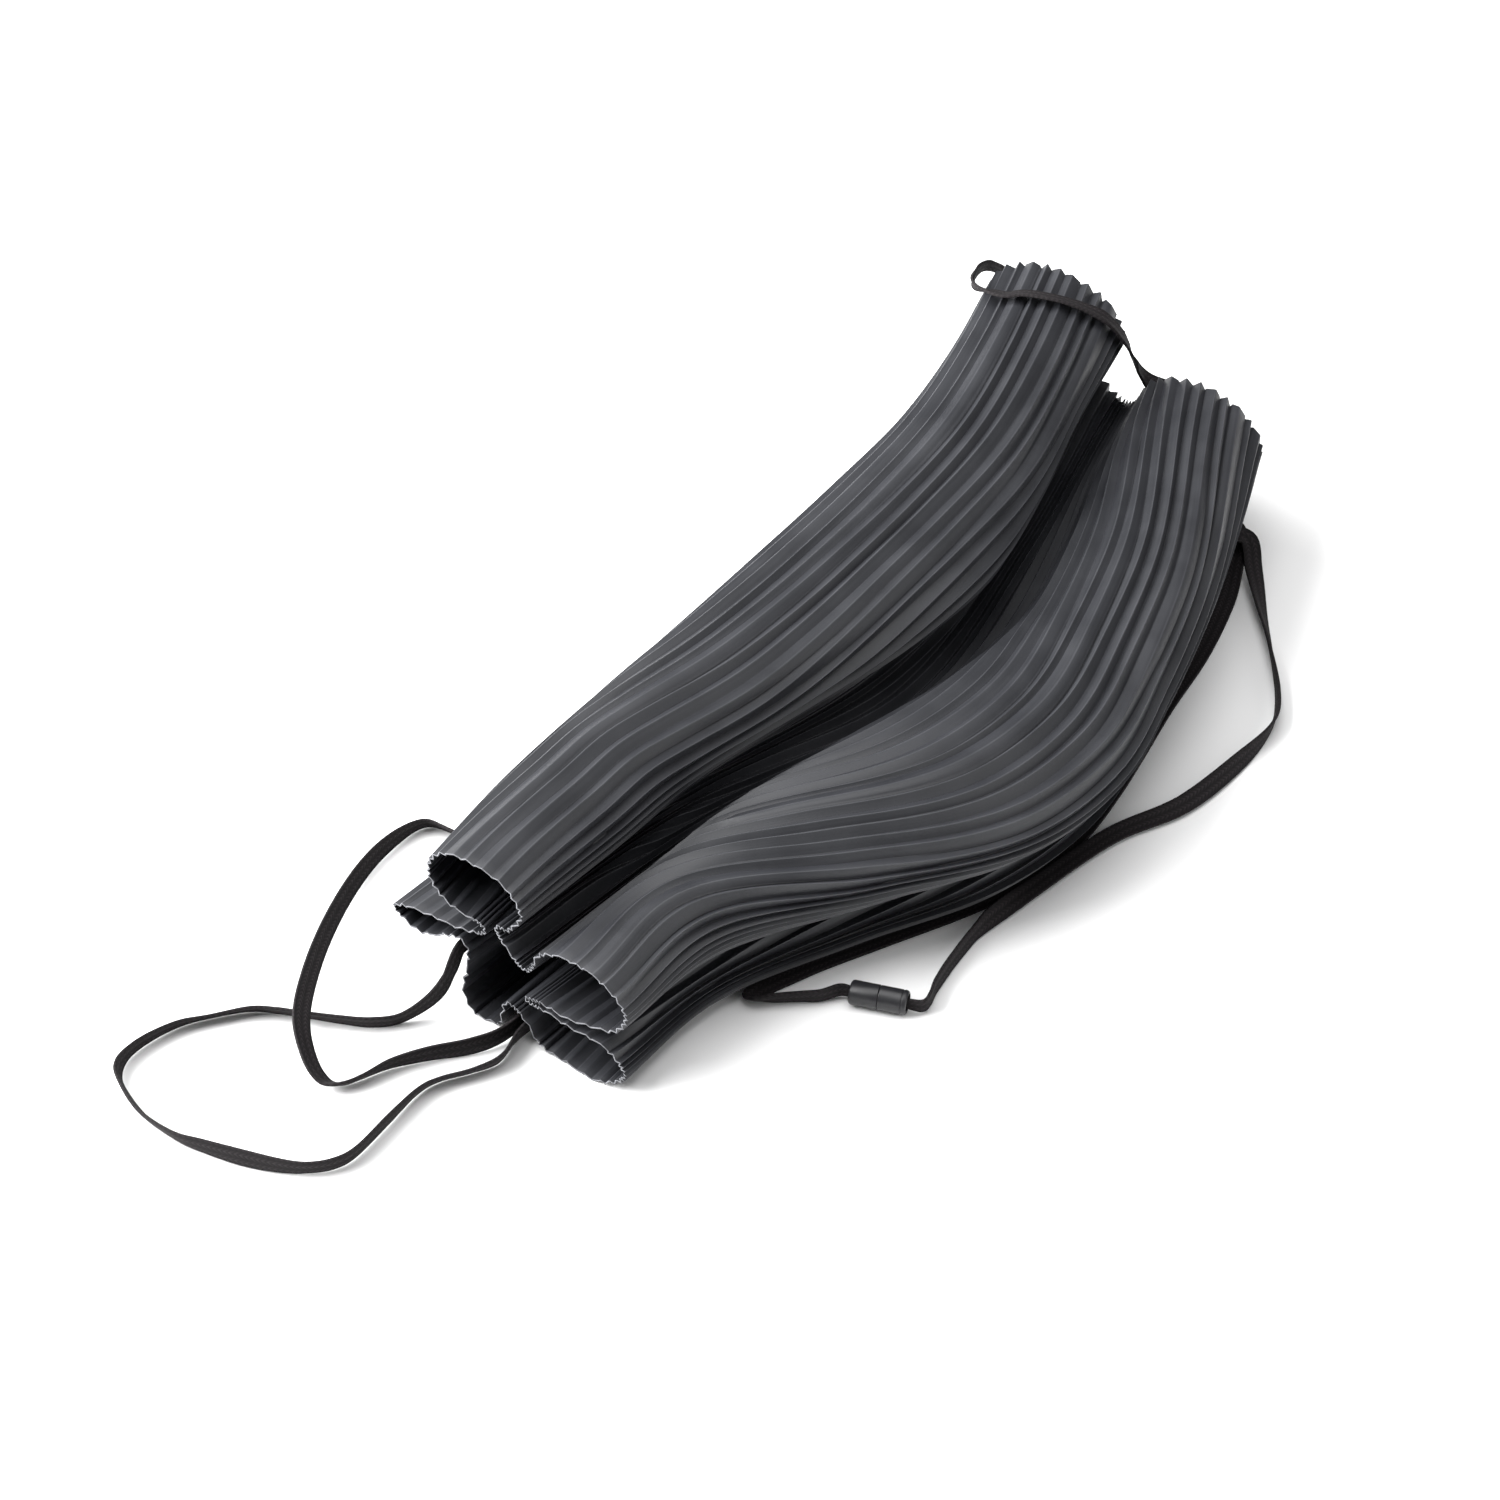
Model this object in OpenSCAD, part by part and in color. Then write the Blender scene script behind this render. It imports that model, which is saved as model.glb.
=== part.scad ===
// Pleated slip-on wheel cover, folded up, with elastic loops and a breakaway barrel connector.
// +X runs along the pleats from the near mouth, +Y to the high side, +Z up, origin under the cover.

/* [Cover] */
// Length of the cover along its pleats
cover_length = 385; // [300:5:450]
// Thickness of the pleated wall, ridge to groove
wall = 2.6; // [1.6:0.2:3.2]
// Cross sections along the cover
sections = 20; // [12:1:30]
// Points between two guide points of a cross section
steps = 2; // [1:1:4]

/* [Elastic] */
// Width of the flat elastic
elastic_w = 7; // [5:0.5:9]
// Thickness of the flat elastic
elastic_t = 1.2; // [0.8:0.1:1.6]

/* [Barrel connector] */
// Overall length of the closed connector
barrel_l = 20; // [18:1:26]
// Diameter of the connector
barrel_d = 8.6; // [8:0.1:11]
// Diameter of the bore in the socket half
bore_d = 5; // [4.5:0.1:5.4]
// Clearance between the post and the bore, on the radius
fit = 0.05; // [0.02:0.01:0.1]
// Heading of the connector, seen from above
barrel_heading = -70; // [-90:1:-50]

/* [Hidden] */
$fn = 48;
// Sideways position of the origin in the cross sections, which are drawn looking along +X
// with right as the first coordinate and up as the second
mid_right = -11.7;
// Outer edges of the folded bundle at even stations along the cover
left_edge = [-72.5, -78.5, -80.5, -81.5, -83, -83, -83, -90, -102];
valley_edge = [-32, -27, -25, -15, -3, 2, -8, -22, -33];
right_edge = [9.5, 14, 43, 71, 78.5, 70, 58, 42.5, 25];
floor_edge = [8, 11, 33, 58, 67, 61, 49, 35, 18];
// Each roll of the folded sheet: left, right, bottom and top along the cover, the angle where
// the sheet meets the roll, its guide points every 45 degrees, and the inward fold after it
floor_roll = [[-34, -29, -20, -8, 0, -4, -12, -20, -26], floor_edge, [-1.2], [20.5, 18.5, 15, 14.5, 14.5],
    180, 7, [[-32, 21.7], [-18, 19.7], [-2, 16], [-10, 15.5], [-26, 16]]];
right_roll = [valley_edge, right_edge, [23, 20, 17, 16.5, 17], [51, 53, 53, 56, 58.5],
    270, 7, [[-43, 47], [-34, 40], [-10, 30], [-22, 32], [-42, 40]]];
upper_roll = [left_edge, [-32, -30, -29, -21, -11, -7, -16, -29, -38.5], [45, 37.5, 33, 38, 43],
    [73.5, 73, 73, 78, 85.5], -45, 8, [[-52.5, 41.5], [-45, 36], [-38, 31.8], [-42, 36], [-55, 41]]];
side_roll = [[-89, -86, -82, -85, -100], [-62, -58, -52, -58, -74], [27, 16, 13, 14, 16],
    [38, 35.5, 31, 36, 41], 90, 5, [[-60, 33], [-58, 21], [-52, 17], [-56, 18], [-73, 20]]];
left_roll = [[-60.5, -58, -54, -58, -76], [-41.5, -33, -20, -28, -38], [-1.2], [27, 24, 22, 24, 26],
    135, 6, [[-40, 14], [-32, 12], [-20, 9], [-26, 9], [-36, 10]]];
rolls = [floor_roll, right_roll, upper_roll, side_roll, left_roll];

// Elastic routes: position, lean of the strap from flat, and width as a share of elastic_w
short_loop = [[-124, 51, 10, 80, 1], [-124, 62, 6, 60, 1], [-129.1, 77.2, 5.9, 105, 1],
    [-130.5, 92.8, 4.2, 115, 1], [-129.2, 105.8, 3.4, 125, 1], [-132, 116.3, 3.7, 115, 1],
    [-146.3, 119.5, 4, 85, 1], [-164.4, 117.9, 3.8, 70, 1], [-187.7, 110.5, 4.5, 60, 1],
    [-212.1, 98.4, 7.2, 50, 1], [-233.9, 83.8, 10.1, 40, 1], [-244.5, 71.4, 7.2, 40, 1],
    [-247, 63.1, 3.5, 35, 1], [-244.3, 57.7, 3.2, 50, 1], [-238.3, 54.3, 3.4, 55, 1],
    [-228.7, 50.3, 3.8, 70, 1], [-218.1, 42.9, 4, 85, 1], [-206.8, 33.4, 4, 95, 1],
    [-196, 27.8, 4.6, 90, 1], [-178, 26.4, 4.8, 90, 1]];
long_loop = [[-170, 50.6, 19, 90, 1], [-188, 51, 26, 90, 1], [-194.8, 52.2, 16.9, 105, 1],
    [-200.4, 55, 8.9, 100, 1], [-209.9, 60.9, 3.8, 110, 1], [-217.5, 67.6, 3.8, 110, 1],
    [-222.8, 77.5, 3.7, 115, 1], [-227.6, 88.4, 3.5, 120, 1], [-231.5, 96.9, 3.5, 120, 1],
    [-236.3, 105.1, 3.4, 125, 1], [-246.6, 113.8, 3.2, 130, 1], [-255.3, 119.7, 3.5, 120, 1],
    [-266, 123.2, 3.8, 110, 1], [-275.2, 124, 3.9, 100, 1], [-282.4, 121.7, 3.9, 80, 1],
    [-287, 115.9, 3.9, 75, 1], [-292.4, 101.9, 3.7, 65, 1], [-293.6, 86.3, 3.8, 70, 1],
    [-291.4, 74.8, 4, 85, 1], [-287.8, 61.7, 4, 95, 1], [-283.3, 49.6, 4, 85, 1], [-279, 42.4, 3.9, 75, 1],
    [-272.9, 36.7, 3.9, 75, 1], [-264.7, 34.1, 3.9, 75, 1], [-247.6, 34.7, 3.9, 75, 1],
    [-233.1, 35.1, 3.7, 65, 1], [-224.5, 32.9, 3.4, 55, 1], [-215.1, 26.7, 3.4, 55, 1],
    [-205.7, 22.4, 3.7, 65, 1], [-194, 24, 4.2, 75, 1], [-178, 23.2, 4.6, 90, 1]];
far_loop = [[180.5, 70, 75, 20, 1], [190, 73, 73.5, 50, 1], [197.5, 83.7, 68.8, 100, 1],
    [198, 89.3, 70.4, 115, 1], [195, 93.1, 71.9, 120, 1], [187.5, 92.8, 73.7, 105, 1],
    [180, 89.9, 74.9, 95, 1], [174, 84.6, 77.2, 52, 1], [169.1, 76.4, 80.8, 24, 1],
    [167.5, 67.7, 83, 18, 1], [169.9, 60.7, 85.1, 18, 1], [171.8, 53.3, 85.8, 18, 1],
    [174.5, 45.9, 85.2, 18, 1], [178.1, 37.8, 82.9, 12, 1], [181.4, 30.4, 79.2, 0, 1],
    [185.5, 25.3, 71.4, -12, 1], [189, 22.6, 63, -18, 1], [192.5, 21.2, 54.4, -22, 1],
    [196.5, 17.6, 46.6, -20, 1], [198, 10.6, 45.6, -10, 1], [194.5, 5, 48.6, -5, 1],
    [188.6, 2.8, 50.2, 0, 1]];
inner_side = [[168, -20, 15.8, 0, 1], [175, -31, 14.5, 0, 1], [174, -40, 10, -10, 1], [160, -46, 4, -10, 1],
    [143, -52, 1.8, 5, 1], [112, -59, 0.9, 0, 1], [78, -63.5, 0.9, 0, 1], [31, -71.4, 0.9, 0, 1],
    [-2, -74.2, 0.9, 0, 1], [-31, -70.5, 0.9, 0, 1], [-55, -61.4, 0.9, 0, 1], [-80, -48.9, 0.9, 0, 1],
    [-104, -36.8, 0.9, 0, 1], [-116, -31.6, 0.9, 0, 1], [-124, -28.4, 1, 0, 1], [-130, -26.8, 1.3, 6, 1],
    [-133.2, -28, 2.2, 28, 1], [-133, -31, 3.1, 50, 1], [-130.4, -34.6, 3.6, 64, 1],
    [-127.4, -38.2, 3.7, 68, 1], [-124.2, -42.2, 3.8, 70, 1], [-120.3, -47, 3.9, 75, 1],
    [-114.6, -51, 4.3, 85, 0.8], [-113, -55.2, 4.4, 85, 0.68]];
outer_side = [[150, -24, 15.8, 0, 1], [163, -36, 16, -10, 1], [171, -45, 13, -20, 1],
    [163, -53, 6.5, 10, 1], [146, -66, 4, 50, 1], [128, -80, 3.8, 75, 1], [105, -96, 3.9, 95, 1],
    [88, -102.5, 3.9, 100, 1], [64, -102, 3.6, 60, 1], [34, -97, 2.9, 25, 1], [6, -84.5, 2.4, 8, 1],
    [-32, -76.5, 2.4, 8, 1], [-53.2, -73.1, 3.4, 50, 1], [-63.3, -72.6, 4, 80, 1],
    [-71.4, -72.9, 3.9, 83, 1], [-79.2, -73.6, 4, 85, 1], [-86.8, -74.5, 4, 85, 1],
    [-94.5, -75.8, 4, 88, 1], [-100.5, -77.6, 4.2, 92, 1], [-104.6, -77.4, 4.3, 95, 0.85],
    [-106.9, -72.2, 4.4, 95, 0.68]];
// Where the elastics are sewn to the cover
near_tacks = [[-124, 48.6, 10.5], [-165, 49.6, 19], [-174, 24.8, 5]];
far_tacks = [[174.5, 69, 74.6], [184, 2.8, 50.2], [160.5, -17, 15.6], [143, -20, 15.4]];

barrel_pos = [-113.3, -54.2, 4.4];
pocket_d = 6.2;
pocket_l = 2.8;
seam = 0.1;
half_l = barrel_l / 2;

// Smooth curve between b and c
function cubic(a, b, c, d, t) =
    (2 * b + (c - a) * t + (2 * a - 5 * b + 4 * c - d) * t * t + (3 * b - a - 3 * c + d) * t * t * t) / 2;
function pick(v, i) =
    i < 0 ? 2 * v[0] - v[1] :
    i >= len(v) ? 2 * v[len(v) - 1] - v[len(v) - 2] : v[i];
// Value of an evenly spaced list at share s of its length
function along(v, s) =
    len(v) == 1 ? v[0] :
    let (q = s * (len(v) - 1), i = min(floor(q), len(v) - 2))
    cubic(pick(v, i - 1), v[i], v[i + 1], pick(v, i + 2), q - i);

function roll_guides(r, s) =
    let (left = along(r[0], s), right = along(r[1], s), low = along(r[2], s), top = along(r[3], s))
    [for (j = [0:r[5] - 1])
        let (a = r[4] + 45 * j)
        [(left + right + (right - left) * cos(a)) / 2, (low + top + (top - low) * sin(a)) / 2],
    along(r[6], s)];
function guides(s) = [for (r = rolls) for (p = roll_guides(r, s)) p];
// Closed outline of the folded sheet at share s of the length
function outline(s) =
    let (g = guides(s), n = len(g))
    [for (i = [0:n - 1]) for (k = [0:steps - 1])
        let (p = cubic(g[(i + n - 1) % n], g[i], g[(i + 1) % n], g[(i + 2) % n], k / steps))
        [p[0], max(p[1], 0)]];
function inward(p, i) =
    let (n = len(p), d = p[(i + 1) % n] - p[(i + n - 1) % n])
    p[i] + wall * [-d[1], d[0]] / norm(d);
function place(p, s) = [(s - 0.5) * cover_length, mid_right - p[0], p[1]];
// First outline point of a roll, which is the fold before it
function first_point(k) = k == 0 ? -steps : first_point(k - 1) + steps * (rolls[k - 1][5] + 1);

// Two triangles for each cell of a grid of points
function grid_faces(rows, cols, base, flip) =
    [for (i = [0:rows - 2]) for (j = [0:cols - 2]) for (h = [0, 1])
        let (a = base + i * cols + j, b = a + 1, c = a + cols, d = c + 1,
            f = h == 0 ? [a, b, d] : [a, d, c])
        flip ? [f[2], f[1], f[0]] : f];
// Strip of faces between an edge of the outer grid and the same edge of the inner grid
function rim_faces(edge, shift, flip) =
    [for (i = [0:len(edge) - 2]) for (h = [0, 1])
        let (a = edge[i], b = edge[i + 1],
            f = h == 0 ? [a, b, b + shift] : [a, b + shift, a + shift])
        flip ? [f[2], f[1], f[0]] : f];

module fold(k) {
    first = first_point(k);
    cols = steps * (rolls[k][5] + 1) + 1;
    rows = sections + 1;
    rings = [for (i = [0:sections]) outline(i / sections)];
    n = len(rings[0]);
    outer = [for (i = [0:sections]) for (j = [0:cols - 1])
        place(rings[i][(first + j + n) % n], i / sections)];
    inner = [for (i = [0:sections]) for (j = [0:cols - 1])
        place(inward(rings[i], (first + j + n) % n), i / sections)];
    near = [for (j = [0:cols - 1]) j];
    far = [for (j = [0:cols - 1]) (rows - 1) * cols + j];
    start = [for (i = [0:rows - 1]) i * cols];
    end = [for (i = [0:rows - 1]) i * cols + cols - 1];
    shift = rows * cols;
    polyhedron(points = concat(outer, inner), faces = concat(
        grid_faces(rows, cols, 0, false), grid_faces(rows, cols, shift, true),
        rim_faces(near, shift, true), rim_faces(far, shift, false),
        rim_faces(start, shift, false), rim_faces(end, shift, true)), convexity = 12);
}

// Flat elastic swept through its route, eight points round and a ring at each route point
module elastic(route) {
    n = len(route);
    spot = [for (r = route) [r[0], r[1], r[2]]];
    corner = [[-1, -0.4], [-0.88, -1], [0.88, -1], [1, -0.4], [1, 0.4], [0.88, 1], [-0.88, 1], [-1, 0.4]];
    points = [for (i = [0:n - 1])
        let (d = spot[min(i + 1, n - 1)] - spot[max(i - 1, 0)],
            t = d / norm(d),
            flat = cross(t, [0, 0, 1]) / norm(cross(t, [0, 0, 1])),
            up = cross(flat, t),
            a = route[i][3],
            across = flat * cos(a) + up * sin(a),
            through = up * cos(a) - flat * sin(a))
        for (c = corner)
            let (p = spot[i] + across * c[0] * elastic_w / 2 * route[i][4] + through * c[1] * elastic_t / 2)
            [p[0], p[1], max(p[2], 0)]];
    sides = [for (i = [0:n - 2]) for (j = [0:7]) for (h = [0, 1])
        let (a = i * 8 + j, b = i * 8 + (j + 1) % 8)
        h == 0 ? [a, b, b + 8] : [a, b + 8, a + 8]];
    polyhedron(points = points, faces = concat(sides,
        [[7, 6, 5, 4, 3, 2, 1, 0]], [[for (j = [0:7]) (n - 1) * 8 + j]]), convexity = 8);
}

module cover_upper_fold() {
    color("#3c3d40") fold(2);
}

module cover_right_fold() {
    color("#3c3d40") fold(1);
}

module cover_floor_fold() {
    color("#3a3b3e") fold(0);
}

module cover_left_fold() {
    color("#3a3b3e") fold(4);
}

module cover_side_fold() {
    color("#3a3b3e") fold(3);
}

module near_elastic_short_loop() {
    color("#1d1d1f") elastic(short_loop);
}

module near_elastic_long_loop() {
    color("#1d1d1f") elastic(long_loop);
}

module far_elastic() {
    color("#1d1d1f") elastic(far_loop);
}

module side_elastic_inner() {
    color("#1d1d1f") elastic(inner_side);
}

module side_elastic_outer() {
    color("#1d1d1f") elastic(outer_side);
}

// Short dense rows of thread that hold the elastic to the sheet
module tack(pos, size) {
    translate(pos) cube(size, center = true);
}

module near_stitch_tacks() {
    color("#141415") {
        tack(near_tacks[0], [6, 1.8, 8]);
        tack(near_tacks[1], [5, 2.6, 8]);
        tack(near_tacks[2], [6, 5, 8]);
    }
}

module far_stitch_tacks() {
    color("#141415") {
        tack(far_tacks[0], [6, 8, 2]);
        tack(far_tacks[1], [6, 8, 1.2]);
        tack(far_tacks[2], [6, 8, 1.2]);
        tack(far_tacks[3], [6, 8, 1.2]);
    }
}

// Puts a piece drawn along +Z from the left end of the connector in its place
module on_barrel(along_z) {
    translate(barrel_pos) rotate([0, 90, barrel_heading]) translate([0, 0, along_z]) children();
}

module barrel_socket() {
    r = barrel_d / 2;
    color("#232426") on_barrel(0) difference() {
        rotate_extrude() polygon([[0, 0], [r - 0.9, 0], [r, 0.9], [r, half_l - 0.25],
            [r - 0.25, half_l], [0, half_l]]);
        translate([0, 0, -1]) cylinder(h = pocket_l + 1, d = pocket_d);
        translate([0, 0, pocket_l + 0.8]) cylinder(h = half_l, d = bore_d);
    }
}

module barrel_plug() {
    r = barrel_d / 2;
    post = bore_d / 2 - fit;
    base = half_l + seam;
    color("#232426") on_barrel(0) difference() {
        rotate_extrude() polygon([[0, pocket_l + 1.2], [post - 0.5, pocket_l + 1.2], [post, pocket_l + 1.7],
            [post, pocket_l + 3.2], [post - 0.5, pocket_l + 3.7], [post - 0.5, base - 1.5], [post, base - 1.2],
            [post, base], [r - 0.25, base], [r, base + 0.25], [r, barrel_l - 0.9], [r - 0.9, barrel_l],
            [0, barrel_l]]);
        translate([0, 0, barrel_l - pocket_l]) cylinder(h = pocket_l + 1, d = pocket_d);
    }
}

// Heat-sealed end of an elastic, wedged in the bottom of its pocket
module knot() {
    cylinder(h = 1.2, d = pocket_d - 0.1);
}

module socket_elastic_knot() {
    color("#18181a") on_barrel(pocket_l - 1.2) knot();
}

module plug_elastic_knot() {
    color("#18181a") on_barrel(barrel_l - pocket_l) knot();
}

cover_upper_fold();
cover_right_fold();
cover_floor_fold();
cover_left_fold();
cover_side_fold();
near_elastic_short_loop();
near_elastic_long_loop();
far_elastic();
side_elastic_inner();
side_elastic_outer();
near_stitch_tacks();
far_stitch_tacks();
barrel_socket();
barrel_plug();
socket_elastic_knot();
plug_elastic_knot();
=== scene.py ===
"""A folded pleated wheel cover with its flat elastics and barrel connector, built round the CAD frame."""
import math

import bmesh
import bpy
import numpy
from mathutils import Matrix, Vector, noise


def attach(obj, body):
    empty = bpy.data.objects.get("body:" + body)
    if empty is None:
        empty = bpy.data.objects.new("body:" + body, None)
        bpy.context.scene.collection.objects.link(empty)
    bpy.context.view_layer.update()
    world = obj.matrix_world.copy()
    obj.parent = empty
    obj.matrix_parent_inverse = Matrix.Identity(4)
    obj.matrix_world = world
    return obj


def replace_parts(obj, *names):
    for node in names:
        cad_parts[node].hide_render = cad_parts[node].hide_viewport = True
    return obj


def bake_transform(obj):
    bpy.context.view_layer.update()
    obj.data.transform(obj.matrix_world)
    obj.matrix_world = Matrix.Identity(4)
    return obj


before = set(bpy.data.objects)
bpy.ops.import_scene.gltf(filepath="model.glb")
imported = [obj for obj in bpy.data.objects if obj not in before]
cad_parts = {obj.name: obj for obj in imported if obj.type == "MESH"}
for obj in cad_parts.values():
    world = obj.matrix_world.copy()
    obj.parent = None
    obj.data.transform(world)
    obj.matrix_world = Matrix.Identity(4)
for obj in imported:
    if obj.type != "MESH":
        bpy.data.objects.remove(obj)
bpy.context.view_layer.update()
scene = bpy.context.scene

# ---- Camera ------------------------------------------------------------------------------------
# A long lens looks down on the near end of the folded cover from its left front corner.

camera_heading = math.radians(54.3)
camera_rise = math.radians(41.5)
camera_away = Vector(
    (
        -math.sin(camera_heading) * math.cos(camera_rise),
        -math.cos(camera_heading) * math.cos(camera_rise),
        math.sin(camera_rise),
    )
)
camera = bpy.data.objects.new("camera", bpy.data.cameras.new("camera"))
camera.data.lens = 82.2
camera.data.sensor_width = 36
camera.data.clip_start = 0.01
camera.location = Vector((-0.0294, 0.0476, 0)) + 1.25 * camera_away
camera.rotation_euler = camera_away.to_track_quat("Z", "Y").to_euler()
scene.collection.objects.link(camera)
scene.camera = camera

# ---- Flat elastics -----------------------------------------------------------------------------
# Braided polyester over rubber threads, 7 mm wide and 1.1 mm thick. Each strap is sewn to the cover
# inside a mouth, stands on its edge on the floor where it was dropped, and turns flat where it rests.

ELASTIC_WIDTH = 0.007
ELASTIC_THICK = 0.0011


def linear(hex_colour):
    """Linear RGBA of an sRGB hex colour."""
    channels = [int(hex_colour[i : i + 2], 16) / 255 for i in (1, 3, 5)]
    return [c / 12.92 if c <= 0.04045 else ((c + 0.055) / 1.055) ** 2.4 for c in channels] + [1]


def node(tree, kind, settings, *values, **named):
    """Adds a node. Its inputs are plain values, sockets, or nodes, whose first live output is linked."""
    added = tree.nodes.new("ShaderNode" + kind)
    for name, value in settings.items():
        setattr(added, name, value)
    live = [s for s in added.inputs if s.enabled]
    pairs = list(zip(live, values))
    pairs += [(next(s for s in live if s.name == n.replace("_", " ")), v) for n, v in named.items()]
    for socket, value in pairs:
        if isinstance(value, bpy.types.Node):
            value = next(s for s in value.outputs if s.enabled)
        if isinstance(value, bpy.types.NodeSocket):
            tree.links.new(value, socket)
        else:
            socket.default_value = value
    return added


def finish(name, nodes_of, **values):
    """A material: plain values go on the shader's own sockets, and nodes_of makes the patterns."""
    material = bpy.data.materials.new(name)
    material.use_nodes = True
    tree = material.node_tree
    shader = tree.nodes["Principled BSDF"]
    for socket, value in values.items():
        shader.inputs[socket.replace("_", " ")].default_value = value
    for socket, found in nodes_of(tree).items():
        tree.links.new(next(s for s in found.outputs if s.enabled), shader.inputs[socket.replace("_", " ")])
    return material


def braid_nodes(tree):
    """Plaited rows whose strands cross at a slant, read from the strap's own UV."""
    # the real rows are 0.9 mm apart; they are drawn at 1.4 mm so that they show
    row_pitch = 0.0014
    strand_pitch = 0.0019
    place = node(tree, "TexCoord", {})
    apart = node(tree, "SeparateXYZ", {}, place.outputs["UV"])
    rows = node(tree, "Math", {"operation": "MULTIPLY"}, apart.outputs["Y"], 1 / row_pitch)
    zigzag = node(tree, "Math", {"operation": "PINGPONG"}, rows, 1.0)
    strands = node(tree, "Math", {"operation": "MULTIPLY"}, apart.outputs["X"], 1 / strand_pitch)
    slant = node(tree, "Math", {"operation": "ADD"}, strands, zigzag)
    strand = node(tree, "Math", {"operation": "PINGPONG"}, slant, 0.5)
    crest = node(tree, "Math", {"operation": "MULTIPLY"}, strand, zigzag)
    fuzz = node(tree, "TexNoise", {}, place.outputs["Object"], Scale=2600.0, Detail=2.0)
    height = node(tree, "Math", {"operation": "MULTIPLY_ADD"}, fuzz, 0.25, crest)
    shade = node(tree, "MapRange", {}, height, 0.0, 0.6, 0.0, 1.0)
    colour = node(tree, "Mix", {"data_type": "RGBA"}, shade, linear("#060506"), linear("#2e2a2c"))
    bump = node(tree, "Bump", {}, Strength=0.7, Distance=0.0003, Height=height)
    return {"Base_Color": colour, "Normal": bump}


# Polyester yarn is matt with a faint fuzz, and slightly warm beside the cool grey of the sheet.
braided_polyester = finish("braided_polyester_elastic", braid_nodes, Roughness=0.82, Specular_IOR_Level=0.2)


def smooth_through(points, steps):
    """Points of one smooth curve through all the given ones, each of them a list of numbers."""
    before = [2 * a - b for a, b in zip(points[0], points[1])]
    after = [2 * a - b for a, b in zip(points[-1], points[-2])]
    held = [before, *points, after]
    found = []
    for i in range(len(points) - 1):
        for k in range(steps):
            t = k / steps
            found.append(
                [
                    b + t * ((c - a) + t * (2 * a - 5 * b + 4 * c - d) + t * t * (3 * b - a - 3 * c + d)) / 2
                    for a, b, c, d in zip(*held[i : i + 4])
                ]
            )
    return found + [list(points[-1])]


def elastic(name, route, **cord):
    """A strap along route points in mm, each with its lean from flat in degrees and its width's share."""
    spots = smooth_through(route, 8)
    centre = [Vector(spot[:3]) / 1000 for spot in spots]
    along = [0.0]
    for a, b in zip(centre, centre[1:]):
        along.append(along[-1] + (b - a).length)
    strap = bmesh.new()
    bmesh.ops.create_grid(strap, x_segments=len(spots) - 1, y_segments=8, size=0.5)
    row_of = {vert: round((vert.co.x + 0.5) * (len(spots) - 1)) for vert in strap.verts}
    uv = strap.loops.layers.uv.new("UVMap")
    for face in strap.faces:
        for loop in face.loops:
            loop[uv].uv = (along[row_of[loop.vert]], loop.vert.co.y * ELASTIC_WIDTH)
    for vert, row in row_of.items():
        ahead = (centre[min(row + 1, len(centre) - 1)] - centre[max(row - 1, 0)]).normalized()
        flat = ahead.cross((0, 0, 1)).normalized()
        lean = math.radians(spots[row][3])
        across = flat * math.cos(lean) + flat.cross(ahead) * math.sin(lean)
        curl = across.cross(ahead) * 0.0003 * (4 * vert.co.y**2 - 0.3)
        vert.co = centre[row] + across * vert.co.y * ELASTIC_WIDTH * spots[row][4] + curl
    mesh = bpy.data.meshes.new(name)
    strap.to_mesh(mesh)
    strap.free()
    mesh.polygons.foreach_set("use_smooth", [True] * len(mesh.polygons))
    mesh.materials.append(braided_polyester)
    piece = bpy.data.objects.new(name + "_strap", mesh)
    scene.collection.objects.link(piece)
    wall = piece.modifiers.new("thickness", "SOLIDIFY")
    wall.thickness = ELASTIC_THICK
    wall.offset = 0
    edge = piece.modifiers.new("rounded edges", "BEVEL")
    edge.width = 0.00035
    edge.segments = 2
    edge.limit_method = "ANGLE"
    edge.angle_limit = math.radians(60)
    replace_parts(piece, name)
    return piece


# The short loop leaves the near mouth low on the left, arches over the floor and comes back in on the right.
SHORT_LOOP = [
    (-124, 51, 10, 80, 1), (-124, 62, 6, 60, 1), (-129.1, 77.2, 5.9, 105, 1),
    (-130.5, 92.8, 4.2, 115, 1), (-129.2, 105.8, 3.4, 125, 1), (-132, 116.3, 3.7, 115, 1),
    (-146.3, 119.5, 4, 85, 1), (-164.4, 117.9, 3.8, 70, 1), (-187.7, 110.5, 4.5, 60, 1),
    (-212.1, 98.4, 7.2, 50, 1), (-233.9, 83.8, 10.1, 40, 1), (-244.5, 71.4, 7.2, 40, 1),
    (-247, 63.1, 3.5, 35, 1), (-244.3, 57.7, 3.2, 50, 1), (-238.3, 54.3, 3.4, 55, 1),
    (-228.7, 50.3, 3.8, 70, 1), (-218.1, 42.9, 4, 85, 1), (-206.8, 33.4, 4, 95, 1),
    (-196, 27.8, 4.6, 90, 1), (-178, 26.4, 4.8, 90, 1),
]
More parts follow.
